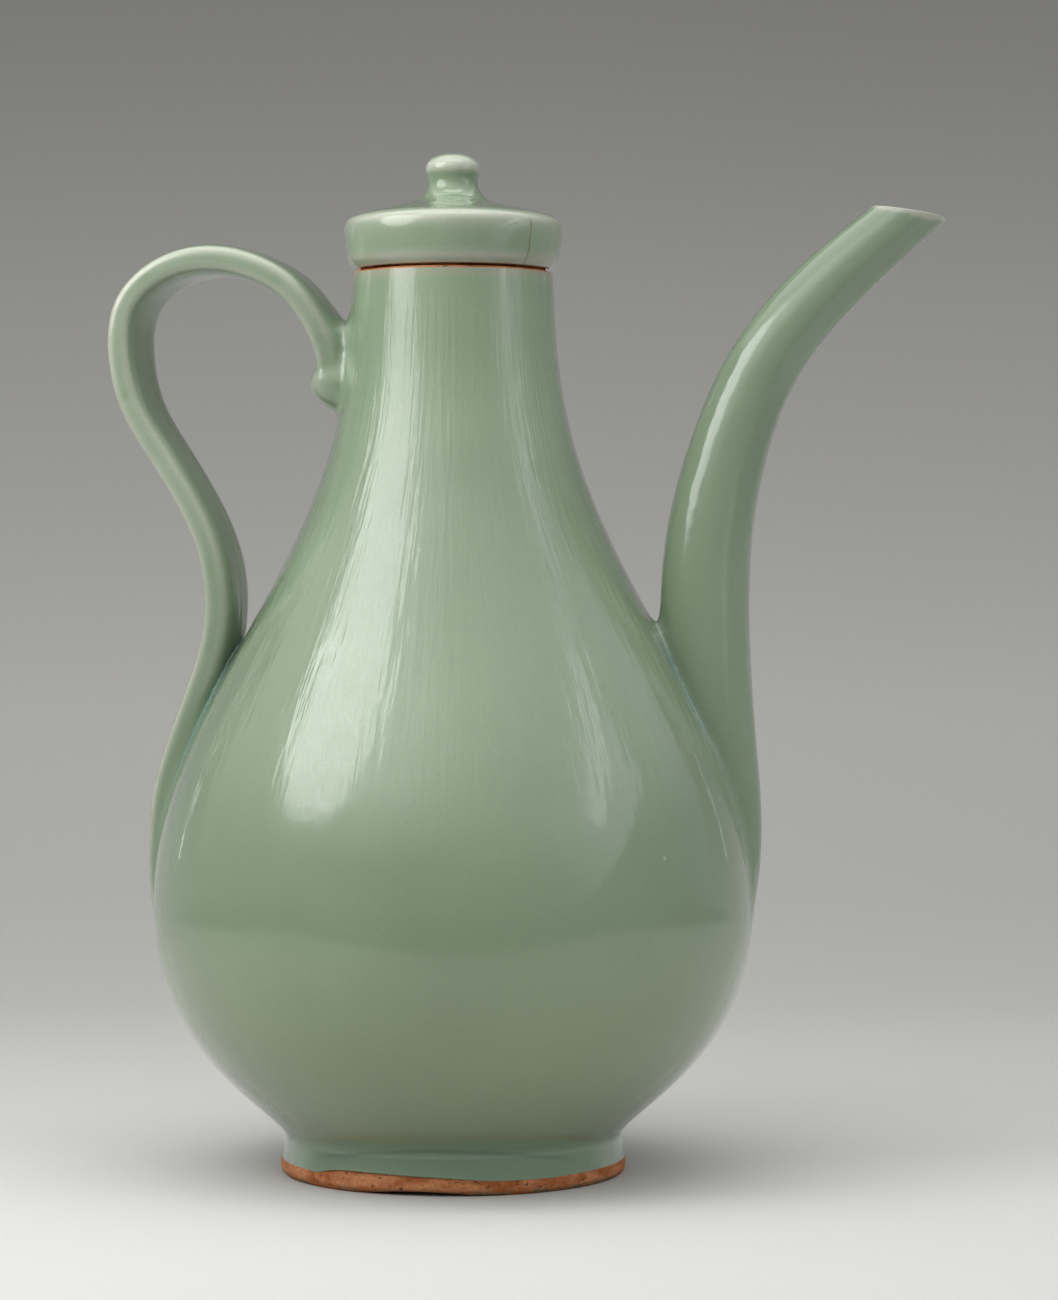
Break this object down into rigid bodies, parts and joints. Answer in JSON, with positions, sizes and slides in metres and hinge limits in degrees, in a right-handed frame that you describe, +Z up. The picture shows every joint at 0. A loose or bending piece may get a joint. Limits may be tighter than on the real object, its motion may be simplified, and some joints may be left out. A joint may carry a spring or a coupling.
{
  "type": "lidded ewer",
  "caption": "Pear-shaped pouring ewer on a foot ring, with a long curved spout, a strap handle and a lift-off lid with a knob.",
  "frame": {"origin": "on the surface it stands on, at the middle of the ewer's footprint box", "axes": "+Z up along the body's axis, +X towards the spout, -X towards the handle, +Y to the side"},
  "size_m": [0.2674, 0.1912, 0.3252],
  "materials": {
    "celadon_glaze": "thick glossy sea-green glaze, paler on raised edges and deeper where it pools",
    "bare_clay": "dry unglazed stoneware burnt orange-brown in the firing"
  },
  "bodies": {
    "vessel": {"foot_ring": "bare_clay", "lower_body": "celadon_glaze", "upper_body": "celadon_glaze", "spout": "celadon_glaze", "handle": "celadon_glaze"},
    "lid": {"lid_cap": "celadon_glaze", "lid_flange": "bare_clay", "lid_knob": "celadon_glaze"}
  },
  "joints": [
    {"name": "lid_lift", "type": "slide", "parent": "vessel", "child": "lid", "axis": [0, 0, 1], "range_m": [0, 0.06]}
  ]
}
